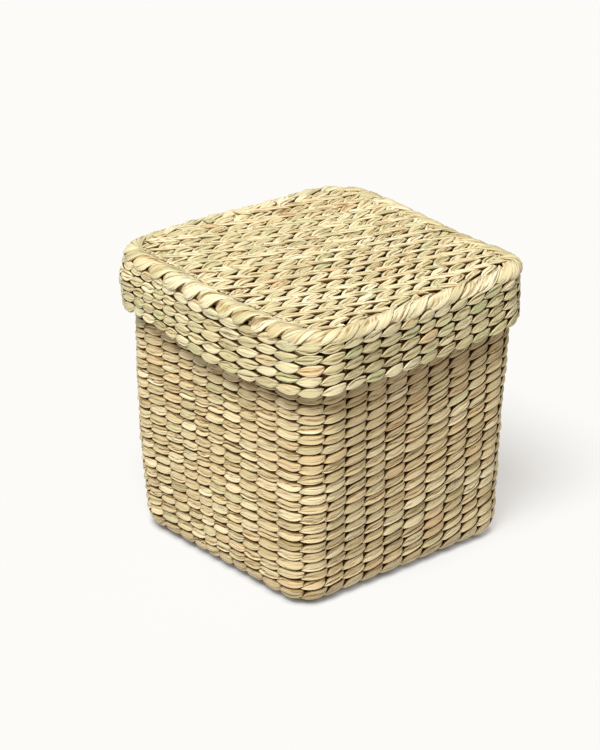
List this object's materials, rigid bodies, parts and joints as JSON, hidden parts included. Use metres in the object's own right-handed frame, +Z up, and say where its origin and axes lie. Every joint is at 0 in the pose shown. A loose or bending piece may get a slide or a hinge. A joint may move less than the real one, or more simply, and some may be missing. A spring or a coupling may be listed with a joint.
{
  "type": "woven storage box with lid",
  "caption": "Square woven seagrass storage box with rounded corners and a loose overlapping lid that lifts straight off.",
  "frame": {"origin": "middle of the base's underside", "axes": "+Z up from the base through the lid; +X and -Y are the two wall faces that the picture shows, +X on its right"},
  "size_m": [0.13, 0.13, 0.13],
  "materials": {
    "wall_strand": "matte",
    "border_strand": "matte",
    "floor_strand": "matte",
    "stake_strip": "matte"
  },
  "bodies": {
    "box_body": {"body_stake_01": "stake_strip", "body_stake_02": "stake_strip", "body_stake_03": "stake_strip", "body_stake_04": "stake_strip", "body_stake_05": "stake_strip", "body_stake_06": "stake_strip", "body_stake_07": "stake_strip", "body_stake_08": "stake_strip", "body_stake_09": "stake_strip", "body_stake_10": "stake_strip", "base_row_01": "floor_strand", "base_row_02": "floor_strand", "base_row_03": "floor_strand", "base_row_04": "floor_strand", "base_row_05": "floor_strand", "base_row_06": "floor_strand", "base_row_07": "floor_strand", "base_row_08": "floor_strand", "base_row_09": "floor_strand", "base_row_10": "floor_strand", "base_border": "border_strand", "base_lining": "border_strand", "wall_band_1": "wall_strand", "wall_band_2": "wall_strand", "wall_band_3": "wall_strand", "wall_band_4": "wall_strand", "wall_band_5": "wall_strand", "wall_band_6": "wall_strand", "wall_band_7": "wall_strand", "wall_band_8": "wall_strand", "rim_border": "border_strand"},
    "lid": {"lid_stake_01": "stake_strip", "lid_stake_02": "stake_strip", "lid_stake_03": "stake_strip", "lid_stake_04": "stake_strip", "lid_stake_05": "stake_strip", "lid_stake_06": "stake_strip", "lid_stake_07": "stake_strip", "lid_stake_08": "stake_strip", "lid_stake_09": "stake_strip", "lid_stake_10": "stake_strip", "lid_stake_11": "stake_strip", "lid_row_01": "floor_strand", "lid_row_02": "floor_strand", "lid_row_03": "floor_strand", "lid_row_04": "floor_strand", "lid_row_05": "floor_strand", "lid_row_06": "floor_strand", "lid_row_07": "floor_strand", "lid_row_08": "floor_strand", "lid_row_09": "floor_strand", "lid_row_10": "floor_strand", "lid_row_11": "floor_strand", "lid_row_12": "floor_strand", "lid_row_13": "floor_strand", "lid_border": "border_strand", "lid_lining": "border_strand", "skirt_band_1": "wall_strand", "skirt_band_2": "wall_strand", "skirt_hem": "border_strand"}
  },
  "joints": [
    {"name": "lid_lift", "type": "slide", "parent": "box_body", "child": "lid", "axis": [0, 0, 1], "range_m": [0, 0.14]}
  ]
}
